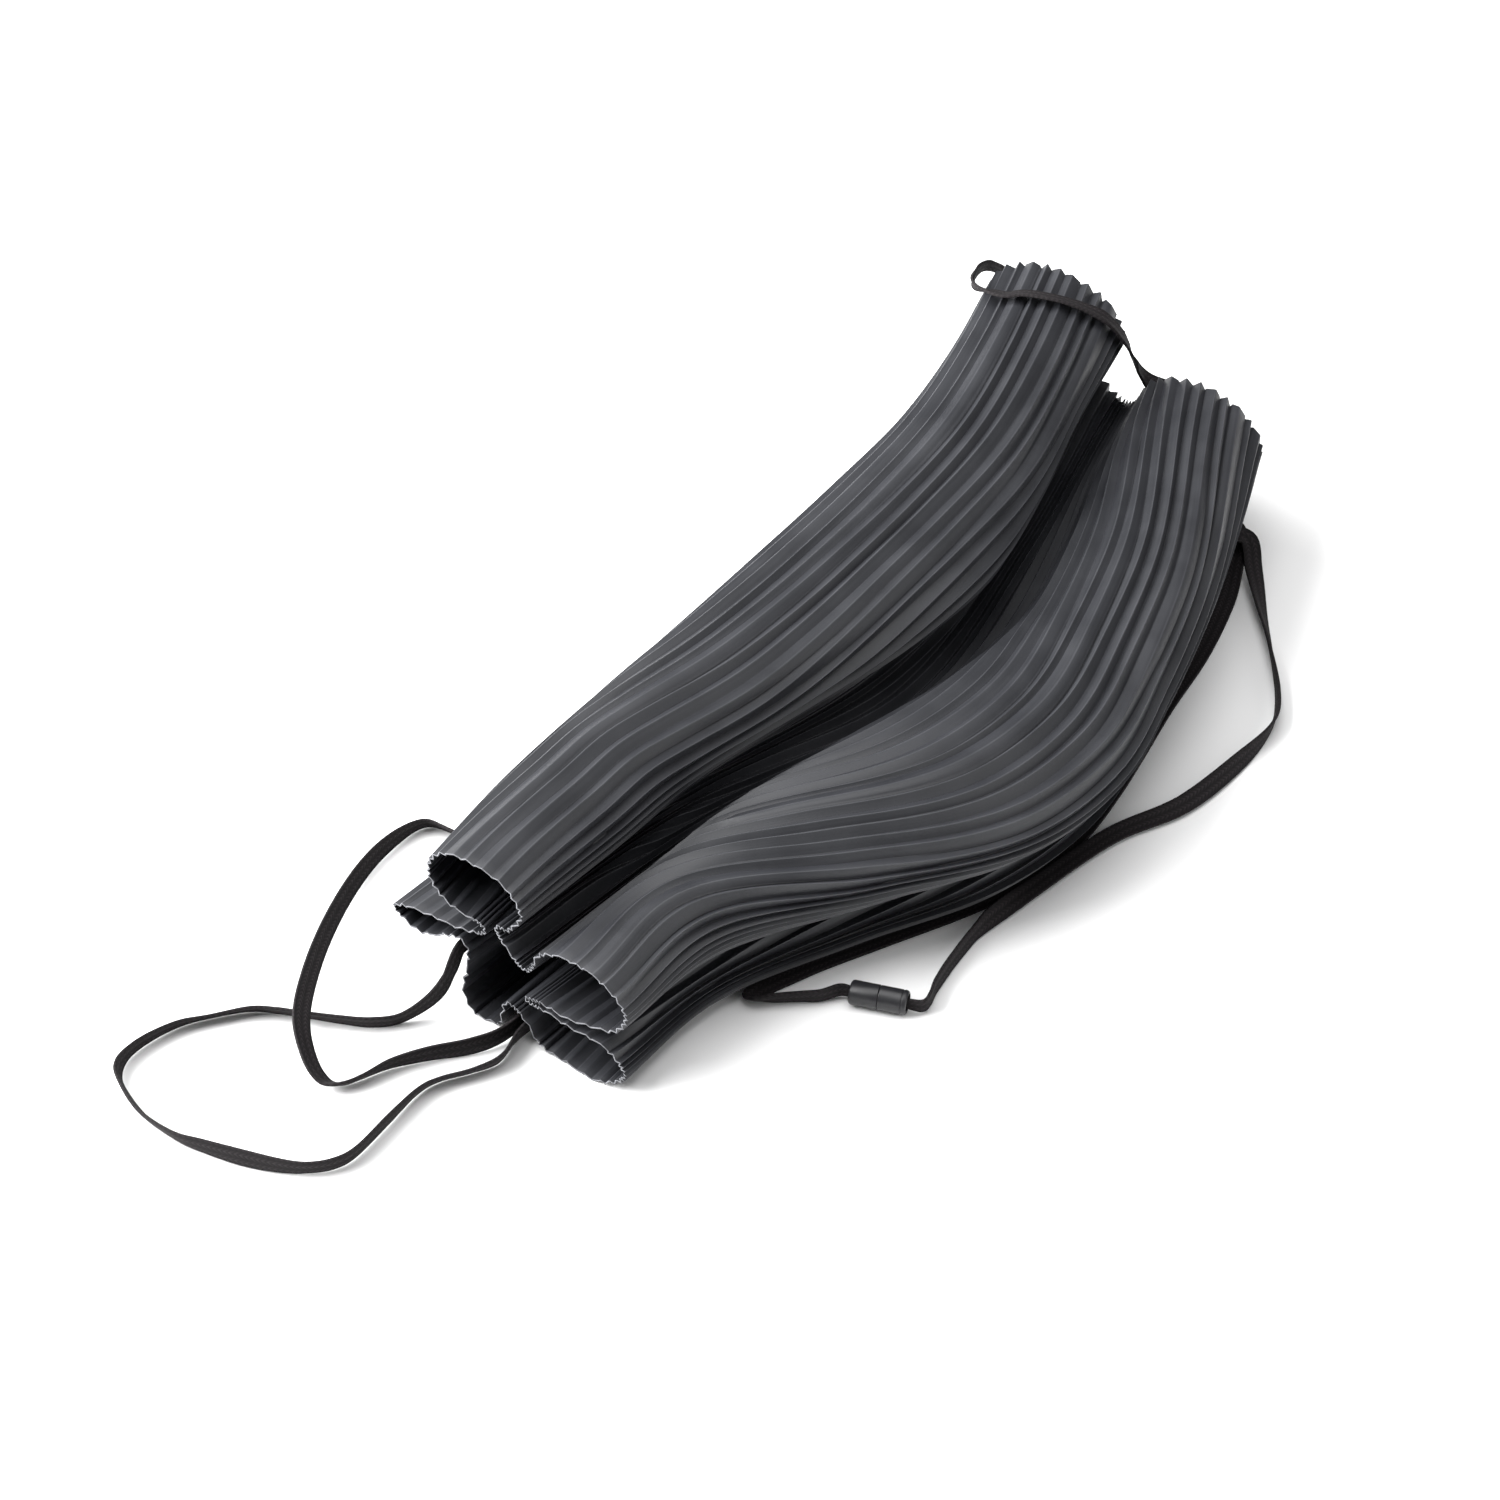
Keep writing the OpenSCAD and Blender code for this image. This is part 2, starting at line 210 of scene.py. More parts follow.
# The long loop drops from the side fold, runs under the short one and swings wide.
LONG_LOOP = [
    (-170, 50.6, 19, 90, 1), (-188, 51, 26, 90, 1), (-194.8, 52.2, 16.9, 105, 1),
    (-200.4, 55, 8.9, 100, 1), (-209.9, 60.9, 3.8, 110, 1), (-217.5, 67.6, 3.8, 110, 1),
    (-222.8, 77.5, 3.7, 115, 1), (-227.6, 88.4, 3.5, 120, 1), (-231.5, 96.9, 3.5, 120, 1),
    (-236.3, 105.1, 3.4, 125, 1), (-246.6, 113.8, 3.2, 130, 1), (-255.3, 119.7, 3.5, 120, 1),
    (-266, 123.2, 3.8, 110, 1), (-275.2, 124, 3.9, 100, 1), (-282.4, 121.7, 3.9, 80, 1),
    (-287, 115.9, 3.9, 75, 1), (-292.4, 101.9, 3.7, 65, 1), (-293.6, 86.3, 3.8, 70, 1),
    (-291.4, 74.8, 4, 85, 1), (-287.8, 61.7, 4, 95, 1), (-283.3, 49.6, 4, 85, 1),
    (-279, 42.4, 3.9, 75, 1), (-272.9, 36.7, 3.9, 75, 1), (-264.7, 34.1, 3.9, 75, 1),
    (-247.6, 34.7, 3.9, 75, 1), (-233.1, 35.1, 3.7, 65, 1), (-224.5, 32.9, 3.4, 55, 1),
    (-215.1, 26.7, 3.4, 55, 1), (-205.7, 22.4, 3.7, 65, 1), (-194, 24, 4.2, 75, 1),
    (-178, 23.2, 4.6, 90, 1),
]
# The far elastic comes out of the far mouth, curls back over the upper roll and dips between the rolls.
FAR_LOOP = [
    (180.5, 70, 75, 20, 1), (190, 73, 73.5, 50, 1), (197.5, 83.7, 68.8, 100, 1),
    (198, 89.3, 70.4, 115, 1), (195, 93.1, 71.9, 120, 1), (187.5, 92.8, 73.7, 105, 1),
    (180, 89.9, 74.9, 95, 1), (174, 84.6, 77.2, 52, 1), (169.1, 76.4, 80.8, 24, 1),
    (167.5, 67.7, 83, 18, 1), (169.9, 60.7, 85.1, 18, 1), (171.8, 53.3, 85.8, 18, 1),
    (174.5, 45.9, 85.2, 18, 1), (178.1, 37.8, 82.9, 12, 1), (181.4, 30.4, 79.2, 0, 1),
    (185.5, 25.3, 71.4, -12, 1), (189, 22.6, 63, -18, 1), (192.5, 21.2, 54.4, -22, 1),
    (196.5, 17.6, 46.6, -20, 1), (198, 10.6, 45.6, -10, 1), (194.5, 5, 48.6, -5, 1),
    (188.6, 2.8, 50.2, 0, 1),
]
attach(elastic("near_elastic_short_loop", SHORT_LOOP, far_end="object"), "cover")
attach(elastic("near_elastic_long_loop", LONG_LOOP, far_end="object"), "cover")
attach(elastic("far_elastic", FAR_LOOP, far_end="object"), "cover")

# ---- Barrel connector --------------------------------------------------------------------------
# A breakaway connector of black acetal in two turned-looking halves, moulded with a satin skin. The
# plug's post snaps into the socket's bore, and each elastic is wedged in a pocket in its outer end.

BARREL_RADIUS = 4.3
BARREL_LENGTH = 20
POCKET_RADIUS = 3.1
POCKET_DEPTH = 2.8
on_barrel = (
    Matrix.Translation((-0.1133, -0.0542, 0.0044))
    @ Matrix.Rotation(math.radians(-70), 4, "Z")
    @ Matrix.Rotation(math.radians(90), 4, "Y")
    @ Matrix.Scale(0.001, 4)
)


def moulded_nodes(tree):
    """A faint spark-eroded grain, drawn at 0.5 mm so that it shows, and a slightly uneven gloss."""
    place = node(tree, "TexCoord", {})
    grain = node(tree, "TexNoise", {}, place.outputs["Object"], Scale=1900.0, Detail=3.0)
    gloss = node(tree, "TexNoise", {}, place.outputs["Object"], Scale=160.0, Detail=2.0)
    rough = node(tree, "MapRange", {}, gloss, 0.3, 0.7, 0.3, 0.42)
    colour = node(tree, "Mix", {"data_type": "RGBA"}, grain, linear("#1b1b1d"), linear("#27272a"))
    bump = node(tree, "Bump", {}, Strength=0.15, Distance=0.0001, Height=grain)
    return {"Base_Color": colour, "Roughness": rough, "Normal": bump}


moulded_acetal = finish("moulded_black_acetal", moulded_nodes, IOR=1.48)


def turned(name, profile, material, steps=64):
    """A piece of revolution from (radius, height) points in mm, set in its place on the connector's axis."""
    body = bmesh.new()
    spots = [body.verts.new((radius, 0, height)) for radius, height in profile]
    line = [body.edges.new(pair) for pair in zip(spots, spots[1:])]
    bmesh.ops.spin(
        body, geom=spots + line, cent=(0, 0, 0), axis=(0, 0, 1), angle=2 * math.pi, steps=steps,
        use_merge=True,
    )
    bmesh.ops.remove_doubles(body, verts=body.verts, dist=0.001)
    bmesh.ops.recalc_face_normals(body, faces=body.faces)
    body.transform(on_barrel)
    mesh = bpy.data.meshes.new(name)
    body.to_mesh(mesh)
    body.free()
    mesh.polygons.foreach_set("use_smooth", [True] * len(mesh.polygons))
    mesh.materials.append(material)
    piece = bpy.data.objects.new(name, mesh)
    scene.collection.objects.link(piece)
    soft_edge = piece.modifiers.new("moulded edges", "BEVEL")
    soft_edge.width = 0.00012
    soft_edge.segments = 2
    soft_edge.limit_method = "ANGLE"
    soft_edge.angle_limit = math.radians(25)
    soft_edge.harden_normals = True
    return piece


outer_end = [
    (0, POCKET_DEPTH), (POCKET_RADIUS, POCKET_DEPTH), (POCKET_RADIUS, 0.25), (POCKET_RADIUS + 0.2, 0),
    (BARREL_RADIUS - 0.8, 0), (BARREL_RADIUS - 0.25, 0.35), (BARREL_RADIUS, 1.0),
]
socket_half = outer_end + [
    (BARREL_RADIUS, 9.84), (BARREL_RADIUS - 0.15, 9.98), (2.5, 9.98), (2.5, POCKET_DEPTH + 1),
    (0, POCKET_DEPTH + 1),
]
plug_half = [(radius, BARREL_LENGTH - height) for radius, height in outer_end]
plug_half += [
    (BARREL_RADIUS, 18.35), (BARREL_RADIUS - 0.25, 18.25), (BARREL_RADIUS - 0.25, 17.95),
    (BARREL_RADIUS, 17.85),
    (BARREL_RADIUS, 10.26), (BARREL_RADIUS - 0.15, 10.12), (2.45, 10.12), (2.45, 8.9), (1.95, 8.6),
    (1.95, 6.5), (2.4, 6.0), (2.4, 4.5), (1.95, 4.1), (0, 4.1),
]
socket = turned("connector_socket", socket_half, moulded_acetal)
plug = turned("connector_plug", plug_half, moulded_acetal)
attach(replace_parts(socket, "barrel_socket"), "cover")
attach(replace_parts(plug, "barrel_plug"), "plug")


def sealed_nodes(tree):
    """Melted ends of yarn, glazed and lumpy at about 1 mm."""
    place = node(tree, "TexCoord", {})
    lumps = node(tree, "TexNoise", {}, place.outputs["Object"], Scale=1100.0, Detail=3.0)
    colour = node(tree, "Mix", {"data_type": "RGBA"}, lumps, linear("#0b0a0b"), linear("#232124"))
    bump = node(tree, "Bump", {}, Strength=0.8, Distance=0.0004, Height=lumps)
    return {"Base_Color": colour, "Normal": bump}


# The heat-sealed end of each elastic, folded over into a plug that is too big to pull through.
melted_polyester = finish("melted_polyester_elastic", sealed_nodes, Roughness=0.4)
knots = []
for name, low, body_name in (("socket_elastic_knot", 1.6, "cover"), ("plug_elastic_knot", 17.2, "plug")):
    dome = [(0, low), (1.9, low), (2.8, low + 0.15), (3.0, low + 0.6), (2.8, low + 1.05), (1.9, low + 1.2)]
    dome += [(0, low + 1.2)]
    knot = turned(name.replace("_knot", "_end"), dome, melted_polyester, 24)
    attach(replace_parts(knot, name), body_name)
    knots.append(knot)

# ---- Side elastic ------------------------------------------------------------------------------
# One long strap in two lengths that the connector joins. Both are sewn inside the far mouth and lie along the
# right side; the outer one ends at the plug but is left in place, not moved with it.

INNER_SIDE = [
    (168, -20, 15.8, 0, 1), (175, -31, 14.5, 0, 1), (174, -40, 10, -10, 1), (160, -46, 4, -10, 1),
    (143, -52, 1.8, 5, 1), (112, -59, 0.9, 0, 1), (78, -63.5, 0.9, 0, 1), (31, -71.4, 0.9, 0, 1),
    (-2, -74.2, 0.9, 0, 1), (-31, -70.5, 0.9, 0, 1), (-55, -61.4, 0.9, 0, 1), (-80, -48.9, 0.9, 0, 1),
    (-104, -36.8, 0.9, 0, 1), (-116, -31.6, 0.9, 0, 1), (-124, -28.4, 1, 0, 1),
    (-130, -26.8, 1.3, 6, 1), (-133.2, -28, 2.2, 28, 1), (-133, -31, 3.1, 50, 1),
    (-130.4, -34.6, 3.6, 64, 1), (-127.4, -38.2, 3.7, 68, 1), (-124.2, -42.2, 3.8, 70, 1),
    (-120.3, -47, 3.9, 75, 1), (-114.6, -51, 4.3, 85, 0.8), (-113, -55.2, 4.4, 85, 0.68),
]
OUTER_SIDE = [
    (150, -24, 15.8, 0, 1), (163, -36, 16, -10, 1), (171, -45, 13, -20, 1), (163, -53, 6.5, 10, 1),
    (146, -66, 4, 50, 1), (128, -80, 3.8, 75, 1), (105, -96, 3.9, 95, 1), (88, -102.5, 3.9, 100, 1),
    (64, -102, 3.6, 60, 1), (34, -97, 2.9, 25, 1), (6, -84.5, 2.4, 8, 1), (-32, -76.5, 2.4, 8, 1),
    (-53.2, -73.1, 3.4, 50, 1), (-63.3, -72.6, 4, 80, 1), (-71.4, -72.9, 3.9, 83, 1),
    (-79.2, -73.6, 4, 85, 1), (-86.8, -74.5, 4, 85, 1), (-94.5, -75.8, 4, 88, 1),
    (-100.5, -77.6, 4.2, 92, 1), (-104.6, -77.4, 4.3, 95, 0.85), (-106.9, -72.2, 4.4, 95, 0.68),
]
inner_strap = elastic("side_elastic_inner", INNER_SIDE, far_end="connector", with_pieces=[socket, knots[0]])
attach(inner_strap, "cover")
outer_strap = elastic("side_elastic_outer", OUTER_SIDE, far_end="connector", with_pieces=[plug, knots[1]])
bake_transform(outer_strap)

# ---- Pleated cover -----------------------------------------------------------------------------
# One closed sleeve of coated polyester, cut 936 by 385 mm and heat-set into 120 pleats that run along
# it. It is folded in on itself into five rolls, so its raw ends show as one winding line.

FACET = 3.9  # mm from a ridge to the next groove
COVER_LENGTH = 385
MID_RIGHT = -11.7  # places the cross sections, drawn looking along +X, about the origin
ROWS = 96
BEND_STEPS = 10
LEFT_EDGE = [-72.5, -78.5, -80.5, -81.5, -83, -83, -83, -90, -102]
VALLEY_EDGE = [-32, -27, -25, -15, -3, 2, -8, -22, -33]
RIGHT_EDGE = [9.5, 14, 43, 71, 78.5, 70, 58, 42.5, 25]
FLOOR_EDGE = [8, 11, 33, 58, 67, 61, 49, 35, 18]
# Each roll: left, right, bottom and top at even stations, the angle where the sheet meets it, how many
# eighths of a turn it makes, the inward fold after it, and its share of the pleats.
ROLLS = {
    "floor": (
        [-34, -29, -20, -8, 0, -4, -12, -20, -26], FLOOR_EDGE, [-1.2, -1.2], [20.5, 18.5, 15, 14.5, 14.5],
        180, 7, [(-32, 21.7), (-18, 19.7), (-2, 16), (-10, 15.5), (-26, 16)], 28,
    ),
    "right": (
        VALLEY_EDGE, RIGHT_EDGE, [23, 20, 17, 16.5, 17], [51, 53, 53, 56, 58.5],
        270, 7, [(-43, 47), (-34, 40), (-10, 30), (-22, 32), (-42, 40)], 34,
    ),
    "upper": (
        LEFT_EDGE, [-32, -30, -29, -21, -11, -7, -16, -29, -38.5], [45, 37.5, 33, 38, 43],
        [73.5, 73, 73, 78, 85.5], -45, 8, [(-52.5, 41.5), (-45, 36), (-38, 31.8), (-42, 36), (-55, 41)], 31,
    ),
    "side": (
        [-89, -86, -82, -85, -100], [-62, -58, -52, -58, -74], [27, 16, 13, 14, 16], [38, 35.5, 31, 36, 41],
        90, 5, [(-60, 33), (-58, 21), (-52, 17), (-56, 18), (-73, 20)], 15,
    ),
    "left": (
        [-60.5, -58, -54, -58, -76], [-41.5, -33, -20, -28, -38], [-1.2, -1.2], [27, 24, 22, 24, 26],
        135, 6, [(-40, 14), (-32, 12), (-20, 9), (-26, 9), (-36, 10)], 12,
    ),
}
PLEATS = sum(roll[7] for roll in ROLLS.values())
# Across one pleat: where its crest and groove turn, as shares of its width, and which of them lie deep
PLEAT_TURNS = ((0.04, 1), (0.46, 0), (0.54, 0), (0.96, 1))
TURN_SPAN = PLEAT_TURNS[3][0] - PLEAT_TURNS[0][0]
DEEPEST = 2.6  # mm that a groove lies below its ridges at most
MOST_CROWDED = 4.5


def stations(values):
    """A smooth value for each row from a list of numbers or points at even stations along the cover."""
    points = [v if isinstance(v, tuple) else (v,) for v in values]
    return smooth_through(points, ROWS // (len(points) - 1))


def folded_outline(row):
    """Closed outline of the folded sleeve at a row, as (right, up) points in mm from its last fold."""
    guides = []
    for left, right, low, top, start, eighths, fold, _ in roll_rows:
        for step in range(eighths):
            turn = math.radians(start + 45 * step)
            guides.append(
                (
                    (left[row][0] + right[row][0] + (right[row][0] - left[row][0]) * math.cos(turn)) / 2,
                    (low[row][0] + top[row][0] + (top[row][0] - low[row][0]) * math.sin(turn)) / 2,
                )
            )
        guides.append(tuple(fold[row]))
    round_trip = guides[-2:] + guides + guides[:1]
    points = smooth_through(round_trip, BEND_STEPS)[BEND_STEPS : BEND_STEPS * (len(guides) + 1) + 1]
    return [(right, max(up, 0.15)) for right, up in points]


def tightness(outline):
    """For each step of an outline, how far past a gentle bend it turns within 10 mm, from 0 to 1.2."""
    steps = numpy.diff(numpy.array(outline), axis=0)
    lengths = numpy.tile(numpy.hypot(steps[:, 0], steps[:, 1]), 3)
    headings = numpy.unwrap(numpy.tile(numpy.arctan2(steps[:, 1], steps[:, 0]), 3))
    middles = numpy.cumsum(lengths) - lengths / 2
    turned_by = numpy.interp(middles + 5, middles, headings) - numpy.interp(middles - 5, middles, headings)
    return numpy.clip(numpy.abs(turned_by) - 0.5, 0, 1.2)[len(steps) : 2 * len(steps)]


def pleated_ring(row):
    """Places round the sleeve at a row, four to a pleat, with each one's share of the pleat count."""
    outline = outlines[row]
    tight = tight_rows[row]
    relaxed = min(0.45 + 5 * row / ROWS, 1)  # the near mouth is stretched open, so its pleats are shallow
    along = (row / ROWS - 0.5) * COVER_LENGTH
    open_width = OPEN_PLEAT[row][0]
    ring = []
    first = 0
    done = 0
    for roll in roll_rows:
        last = first + BEND_STEPS * (roll[5] + 1)
        steps = [(Vector(outline[i + 1]) - Vector(outline[i])).length for i in range(first, last)]
        spare = roll[7] * open_width - sum(steps)
        crowd = spare / max(sum(step * share for step, share in zip(steps, tight[first:last])), 1)
        crowd = min(max(crowd, 0), MOST_CROWDED)
        reach = [0.0]
        length = [0.0]
        # pleats close up where the sheet turns sharply
        for step, share in zip(steps, tight[first:last]):
            length.append(length[-1] + step)
            reach.append(reach[-1] + step * (1 + crowd * share))
        for pleat in range(roll[7]):
            # the creases were not set quite evenly, so each wanders to either side of its place
            ridge_off = 0.32 * noise.noise((along / 170, (done + pleat) * 3.7, 4.2))
            groove_off = [0.26 * noise.noise((along / 170, (done + pleat + k) * 3.1, 7.7)) for k in (0, 1)]
            if pleat == 0:
                groove_off[0] = 0
            if pleat == roll[7] - 1:
                groove_off[1] = 0
            swell = 1 + 0.2 * noise.noise((along / 150, (done + pleat) * 2.3, 9.1))
            spots = []
            for share, deep in PLEAT_TURNS:
                off = groove_off[share > 0.5] if deep else ridge_off
                goal = (pleat + share + off) / roll[7] * reach[-1]
                i = next(k for k in range(len(reach) - 1) if reach[k + 1] >= goal or k == len(reach) - 2)
                part = (goal - reach[i]) / (reach[i + 1] - reach[i])
                a, b = Vector(outline[first + i]), Vector(outline[first + i + 1])
                spots.append((a.lerp(b, part), length[i] + part * (length[i + 1] - length[i]), share, deep))
            half = (spots[3][1] - spots[0][1]) / TURN_SPAN / 2
            depth = math.sqrt(max(FACET**2 - half**2, 0.5**2)) * swell
            for spot, _, share, deep in spots:
                ring.append([spot, min(depth, DEEPEST) * relaxed * deep, done + pleat + share])
        done += roll[7]
        first = last
    inward = []
    for k, (spot, depth, _) in enumerate(ring):
        way = ring[(k + 3) % len(ring)][0] - ring[k - 3][0]
        inward.append(Vector((-way.y, way.x)).normalized())
    return [(spot + n * depth, count) for (spot, depth, count), n in zip(ring, inward)]


# how wide a pleat stands open where the sheet runs smoothly, in mm, from the near end to the far one
OPEN_PLEAT = stations([6.7, 6.6, 6.5, 6.5, 6.5])
roll_rows = [
    (*[stations(values) for values in roll[:4]], roll[4], roll[5], stations(roll[6]), roll[7])
    for roll in ROLLS.values()
]
outlines = [folded_outline(row) for row in range(ROWS + 1)]
# a pleat keeps its line, so the crowding changes slowly along the cover
slow = numpy.hanning(25)[1:-1]
tight_rows = numpy.pad([tightness(outline) for outline in outlines], ((11, 11), (0, 0)), mode="edge")
tight_rows = sum(share * tight_rows[k : k + ROWS + 1] for k, share in enumerate(slow)) / slow.sum()
rings = [pleated_ring(row) for row in range(ROWS + 1)]
columns = len(rings[0])
sleeve = bmesh.new()
bmesh.ops.create_grid(sleeve, x_segments=ROWS, y_segments=columns, size=0.5)
place_of = {
    vert: (round((vert.co.x + 0.5) * ROWS), round((vert.co.y + 0.5) * columns)) for vert in sleeve.verts
}
cloth_uv = sleeve.loops.layers.uv.new("UVMap")
for face in sleeve.faces:
    for loop in face.loops:
        row, column = place_of[loop.vert]
        count = rings[row][column % columns][1] + (PLEATS if column == columns else 0)
        loop[cloth_uv].uv = (row / ROWS * COVER_LENGTH / 1000, count * 2 * FACET / 1000)
for vert, (row, column) in place_of.items():
    spot = rings[row][column % columns][0]
    ragged = 1.2 * noise.noise((spot.x / 14, spot.y / 14, row / ROWS * 3)) * (abs(row / ROWS - 0.5) * 2) ** 12
    vert.co = (
        ((row / ROWS - 0.5) * COVER_LENGTH + ragged) / 1000,
        (MID_RIGHT - spot.x) / 1000,
        max(spot.y, 0.15) / 1000,
    )
bmesh.ops.remove_doubles(sleeve, verts=sleeve.verts, dist=1e-7)
cover_mesh = bpy.data.meshes.new("pleated_cover")
sleeve.to_mesh(cover_mesh)
sleeve.free()
cover_mesh.polygons.foreach_set("use_smooth", [True] * len(cover_mesh.polygons))


def pleated_nodes(tree):
    """Satin coating over a fine plain weave, with crests painted paler, partly as rubbed wear and partly as a
    painted highlight, and faint long streaks.
    """
    place = node(tree, "TexCoord", {})
    apart = node(tree, "SeparateXYZ", {}, place.outputs["UV"])
    pleat = node(tree, "Math", {"operation": "MULTIPLY"}, apart.outputs["Y"], 1000 / (2 * FACET))
    height = node(tree, "Math", {"operation": "PINGPONG"}, pleat, 0.5)
    patches = node(tree, "TexNoise", {}, place.outputs["Object"], Scale=45.0, Detail=4.0)
    stretched = node(tree, "Mapping", {}, place.outputs["UV"], Scale=(18.0, 900.0, 1.0))
    streaks = node(tree, "TexNoise", {}, stretched, Scale=1.0, Detail=3.0)
    # the crests are painted paler: partly wear where they rub, partly a painted highlight along each ridge
    crest = node(tree, "MapRange", {"interpolation_type": "SMOOTHSTEP"}, height, 0.43, 0.48, 0.0, 1.0)
    crest_wear_and_highlight = node(tree, "Math", {"operation": "MULTIPLY"}, crest, patches)
    tone = node(tree, "Math", {"operation": "MULTIPLY_ADD"}, streaks, 0.6, patches)
    shade = node(tree, "MapRange", {}, tone, 0.5, 1.1, 0.0, 1.0)
    coat = node(tree, "Mix", {"data_type": "RGBA"}, shade, linear("#212226"), linear("#2e2f33"))
    colour = node(tree, "Mix", {"data_type": "RGBA"}, crest_wear_and_highlight, coat, linear("#424347"))
    rough = node(tree, "MapRange", {}, tone, 0.5, 1.1, 0.42, 0.54)
    # the real weave has threads 0.3 mm apart; it is drawn at 0.8 mm so that it shows
    warp = node(tree, "Math", {"operation": "PINGPONG"}, apart.outputs["X"], 0.0004)
    weft = node(tree, "Math", {"operation": "PINGPONG"}, apart.outputs["Y"], 0.0004)
    weave = node(tree, "Math", {"operation": "ADD"}, warp, weft)
    grain = node(tree, "TexNoise", {}, place.outputs["Object"], Scale=1400.0, Detail=2.0)
    relief = node(tree, "Math", {"operation": "MULTIPLY_ADD"}, weave, 600.0, grain)
    bump = node(tree, "Bump", {}, Strength=0.25, Distance=0.0001, Height=relief)
    return {"Base_Color": colour, "Roughness": rough, "Normal": bump}


def cut_nodes(tree):
    """The pale core of the sheet where it was cut, speckled by yarn ends about 0.4 mm apart."""
    place = node(tree, "TexCoord", {})
    yarn = node(tree, "TexNoise", {}, place.outputs["Object"], Scale=1500.0, Detail=2.0)
    colour = node(tree, "Mix", {"data_type": "RGBA"}, yarn, linear("#5a5b5f"), linear("#8d8e93"))
    return {"Base_Color": colour}


cover_mesh.materials.append(finish("heat_pleated_coated_polyester", pleated_nodes, IOR=1.5))
cover_mesh.materials.append(finish("cut_polyester_edge", cut_nodes, Roughness=0.85))
cover = bpy.data.objects.new("pleated_cover", cover_mesh)
scene.collection.objects.link(cover)
sheet_wall = cover.modifiers.new("sheet thickness", "SOLIDIFY")
sheet_wall.thickness = 0.0006
sheet_wall.offset = -1
sheet_wall.material_offset_rim = 1
crisp = cover.modifiers.new("crisp facets", "WEIGHTED_NORMAL")
crisp.weight = 80
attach(cover, "cover")
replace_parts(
    cover, "cover_upper_fold", "cover_right_fold", "cover_floor_fold", "cover_left_fold", "cover_side_fold"
)

# ---- Bar tacks ---------------------------------------------------------------------------------
# Each elastic's end is doubled under and held by a dense zigzag of black polyester thread.

THREAD = 0.35


def thread_nodes(tree):
    """Two-ply thread with a slight shine, its twist drawn at 0.5 mm."""
    place = node(tree, "TexCoord", {})
    turned_place = node(tree, "Mapping", {}, place.outputs["Object"], Rotation=(0.6, 0.4, 0.7))
    twist = node(tree, "TexWave", {"wave_type": "BANDS"}, turned_place, Scale=620.0, Distortion=1.5)
    colour = node(tree, "Mix", {"data_type": "RGBA"}, twist, linear("#0e0e0f"), linear("#2a2a2c"))
    bump = node(tree, "Bump", {}, Strength=0.5, Distance=0.0001, Height=twist)
    return {"Base_Color": colour, "Normal": bump}


polyester_thread = finish("black_polyester_thread", thread_nodes, Roughness=0.55)


def tacks(name, places):
    """Sewn ends in mm: each a doubled end of elastic with nine strands of thread across both its faces."""
    sewn = bmesh.new()
    for centre, size in places:
        thin = size.index(min(size))
        tab = bmesh.ops.create_cube(sewn, size=1)["verts"]
        flat = [length - (2 * THREAD if i == thin else 0.4) for i, length in enumerate(size)]
        bmesh.ops.scale(sewn, verts=tab, vec=flat)
        bmesh.ops.translate(sewn, verts=tab, vec=centre)
        edges = {edge for vert in tab for edge in vert.link_edges}
        bmesh.ops.bevel(
            sewn, geom=list(edges), offset=0.22, segments=2, profile=0.5, affect="EDGES", material=-1
        )
    strands_start = len(sewn.faces)
    for centre, size in places:
        thin = size.index(min(size))
        wide = 2 if thin == 1 else 1
        for side in (-1, 1):
            for k in range(9):
                strand = bmesh.ops.create_cone(
                    sewn, segments=6, radius1=THREAD / 2, radius2=THREAD / 2, depth=size[wide] - 0.5,
                    cap_ends=True,
                )["verts"]
                lean = Matrix.Rotation(0.07 * (-1) ** k, 4, "Y")
                if wide == 1:
                    lean = Matrix.Rotation(math.radians(90), 4, "X") @ lean
                spot = list(centre)
                spot[0] += (k - 4) * (size[0] - 1) / 8
                spot[thin] += side * (size[thin] - THREAD) / 2
                bmesh.ops.transform(sewn, verts=strand, matrix=Matrix.Translation(spot) @ lean)
    sewn.faces.ensure_lookup_table()
    for face in sewn.faces[strands_start:]:
        face.material_index = 1
        face.smooth = True
    bmesh.ops.scale(sewn, verts=sewn.verts, vec=(0.001, 0.001, 0.001))
    mesh = bpy.data.meshes.new(name)
    sewn.to_mesh(mesh)
    sewn.free()
    mesh.materials.append(melted_polyester)
    mesh.materials.append(polyester_thread)
    piece = bpy.data.objects.new(name.replace("stitch_tacks", "bar_tacks"), mesh)
    scene.collection.objects.link(piece)
    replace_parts(piece, name)
    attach(piece, "cover")


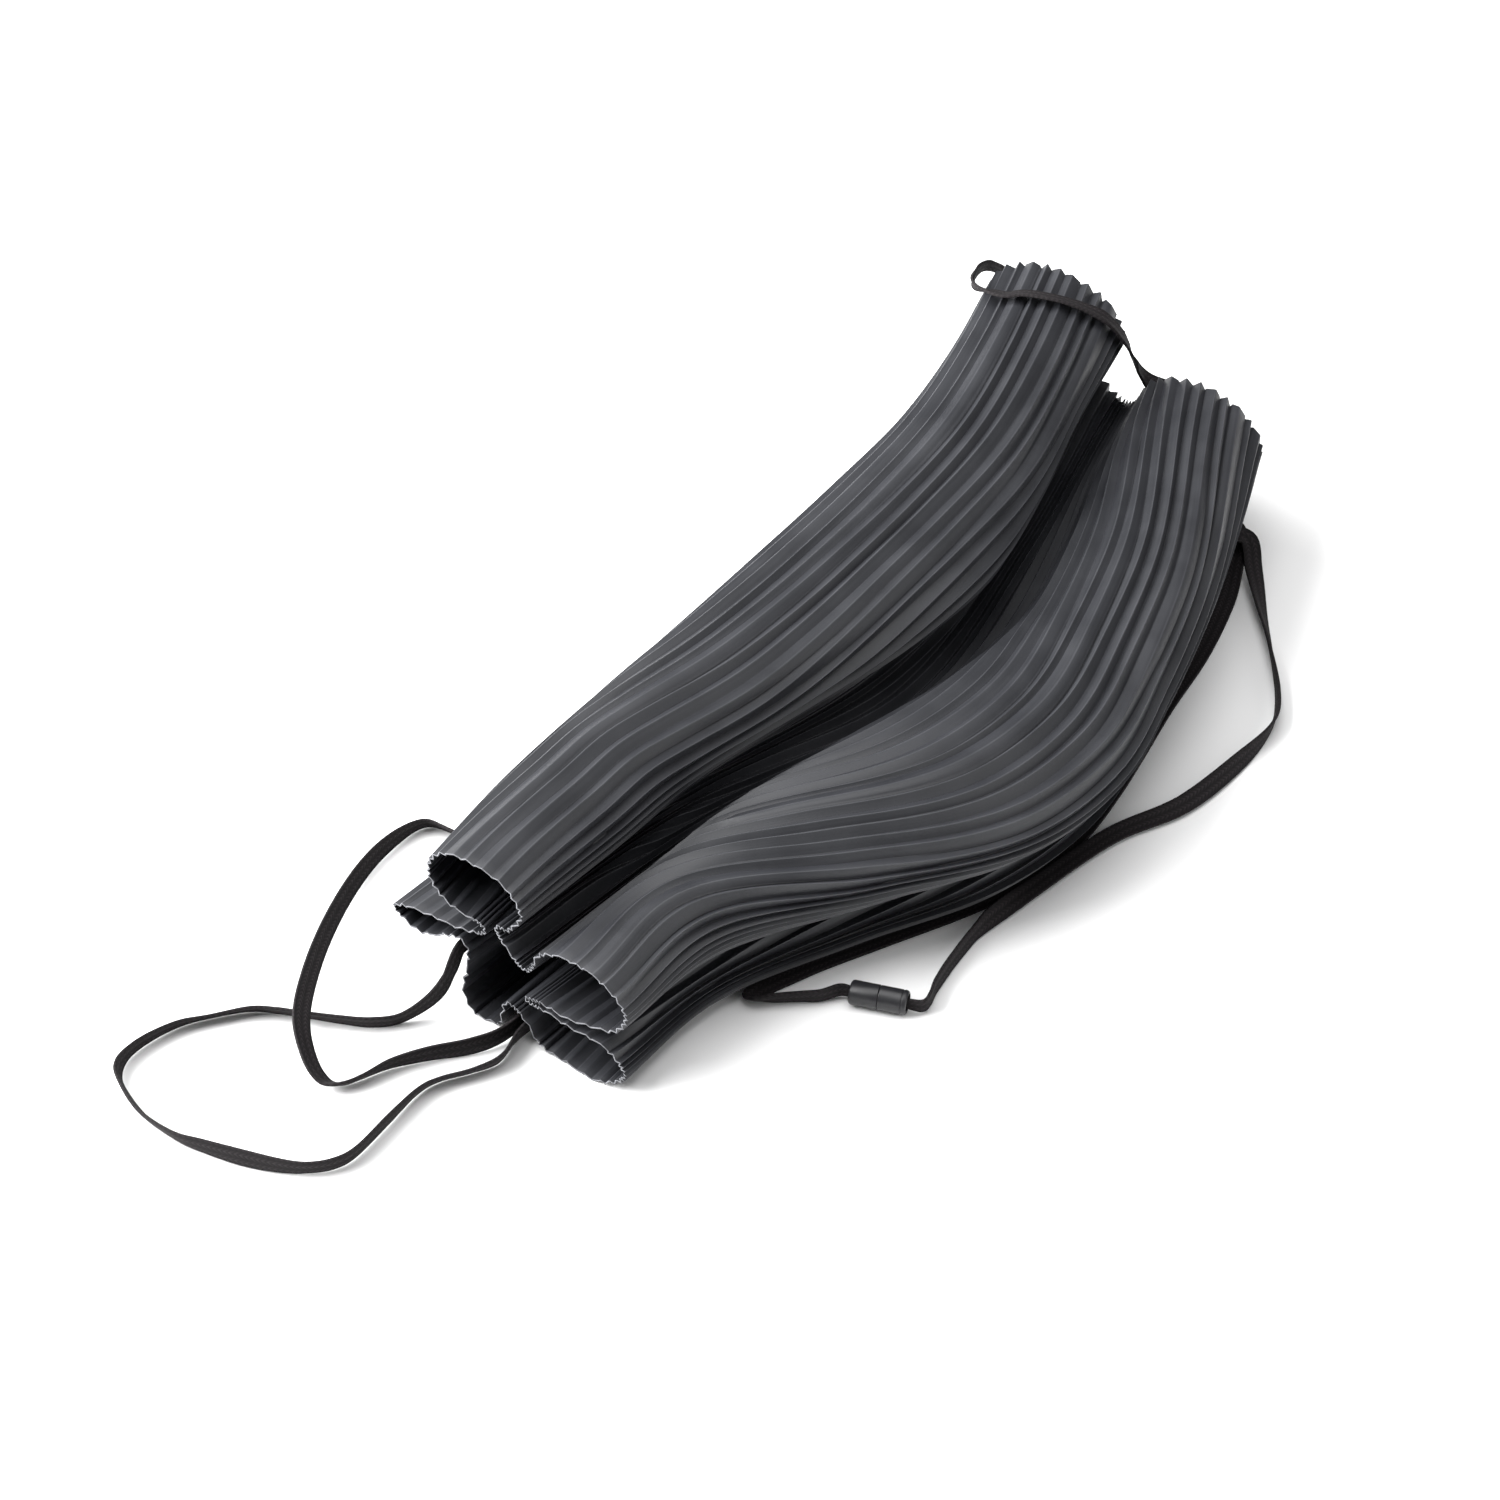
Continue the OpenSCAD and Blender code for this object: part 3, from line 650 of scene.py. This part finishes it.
tacks(
    "near_stitch_tacks",
    [((-124, 48.6, 10.5), [6, 1.8, 8]), ((-165, 49.6, 19), [5, 2.6, 8]), ((-174, 24.8, 5), [6, 5, 8])],
)
tacks(
    "far_stitch_tacks",
    [
        ((174.5, 69, 74.6), [6, 8, 2]), ((184, 2.8, 50.2), [6, 8, 1.2]),
        ((160.5, -17, 15.6), [6, 8, 1.2]), ((143, -20, 15.4), [6, 8, 1.2]),
    ],
)

# ---- Floor and light ---------------------------------------------------------------------------
# A matt white sweep, lit by a wide softbox like a window at the back left, a weak one overhead and a
# low fill at the front right that keeps the shaded sides of the rolls readable.


def paper_nodes(tree):
    """Matt paper with a barely uneven tone."""
    place = node(tree, "TexCoord", {})
    mottle = node(tree, "TexNoise", {}, place.outputs["Object"], Scale=4.0, Detail=2.0)
    colour = node(tree, "Mix", {"data_type": "RGBA"}, mottle, linear("#f4f4f4"), linear("#f8f8f8"))
    return {"Base_Color": colour}


paper = bmesh.new()
bmesh.ops.create_grid(paper, x_segments=8, y_segments=8, size=4)
floor_mesh = bpy.data.meshes.new("floor")
paper.to_mesh(floor_mesh)
paper.free()
floor_mesh.materials.append(finish("matt_white_paper", paper_nodes, Roughness=0.9))
floor = bpy.data.objects.new("floor", floor_mesh)
scene.collection.objects.link(floor)


def softbox(name, place, size, power):
    """A square light that faces the middle of the cover."""
    light = bpy.data.lights.new(name, "AREA")
    light.size = size
    light.energy = power
    lamp = bpy.data.objects.new(name, light)
    lamp.location = place
    lamp.rotation_euler = (Vector(place) - Vector((0, 0, 0.04))).to_track_quat("Z", "Y").to_euler()
    scene.collection.objects.link(lamp)


softbox("window_softbox", (-0.7, 1.2, 0.9), 1.8, 124)
softbox("overhead_softbox", (0, 0, 1.7), 1.4, 22)
softbox("front_fill_softbox", (0.3, -1.4, 0.6), 1.4, 9)
world = bpy.data.worlds.new("studio")
world.use_nodes = True
world.node_tree.nodes["Background"].inputs["Color"].default_value = linear("#ffffff")
world.node_tree.nodes["Background"].inputs["Strength"].default_value = 0.15
scene.world = world
scene.view_settings.view_transform = "Standard"
